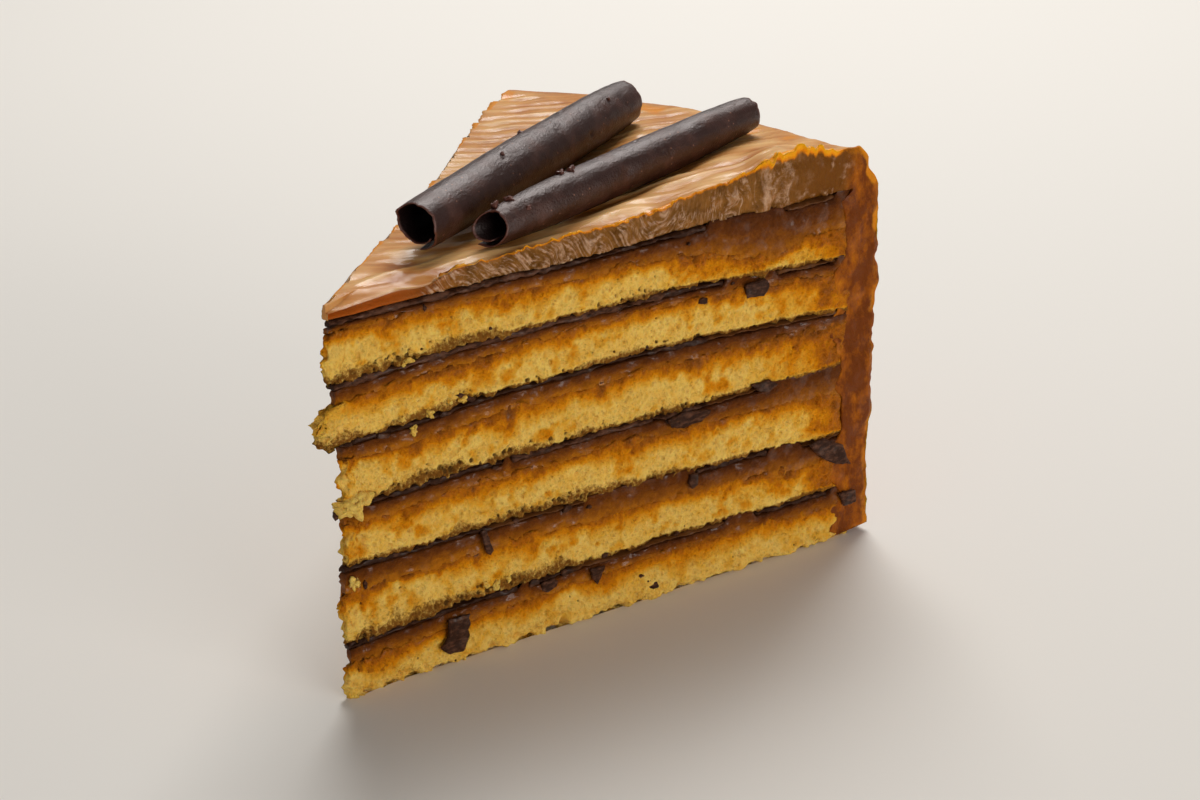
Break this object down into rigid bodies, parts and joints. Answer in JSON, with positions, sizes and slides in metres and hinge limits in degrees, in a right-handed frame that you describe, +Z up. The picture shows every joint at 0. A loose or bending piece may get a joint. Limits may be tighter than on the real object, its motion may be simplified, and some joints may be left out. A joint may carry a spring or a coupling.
{
  "type": "slice of layer cake",
  "caption": "Wedge cut from a tall layer cake: yellow sponge, caramel filling and thin chocolate sheets under caramel frosting, with hollow chocolate rolls lying on top.",
  "frame": {"origin": "middle of the bounding box's base, on the surface that the slice stands on", "axes": "+Z up, +Y from the slice's tip towards its rim, so the cut face shown in the picture looks to the +X side"},
  "size_m": [0.0846, 0.1186, 0.0859],
  "materials": {
    "sponge": "open yellow crumb, soaked amber towards the top of each layer, matte and slightly moist",
    "caramel": "glossy brown caramel, translucent at thin edges",
    "chocolate": "thin dark chocolate sheet, snapped and smeared by the knife, satin",
    "frosting": "milky caramel frosting, glossy, with spatula ridges; amber and translucent at its cut edge",
    "roll_chocolate": "satin dark chocolate with small pits and crumbs"
  },
  "bodies": {
    "root": {"sponge_1": "sponge", "caramel_1": "caramel", "chocolate_1": "chocolate", "sponge_2": "sponge", "caramel_2": "caramel", "chocolate_2": "chocolate", "sponge_3": "sponge", "caramel_3": "caramel", "chocolate_3": "chocolate", "sponge_4": "sponge", "caramel_4": "caramel", "chocolate_4": "chocolate", "sponge_5": "sponge", "caramel_5": "caramel", "chocolate_5": "chocolate", "sponge_6": "sponge", "caramel_6": "caramel", "chocolate_6": "chocolate", "frosting": "frosting", "roll_1": "roll_chocolate", "roll_2": "roll_chocolate"}
  },
  "joints": []
}
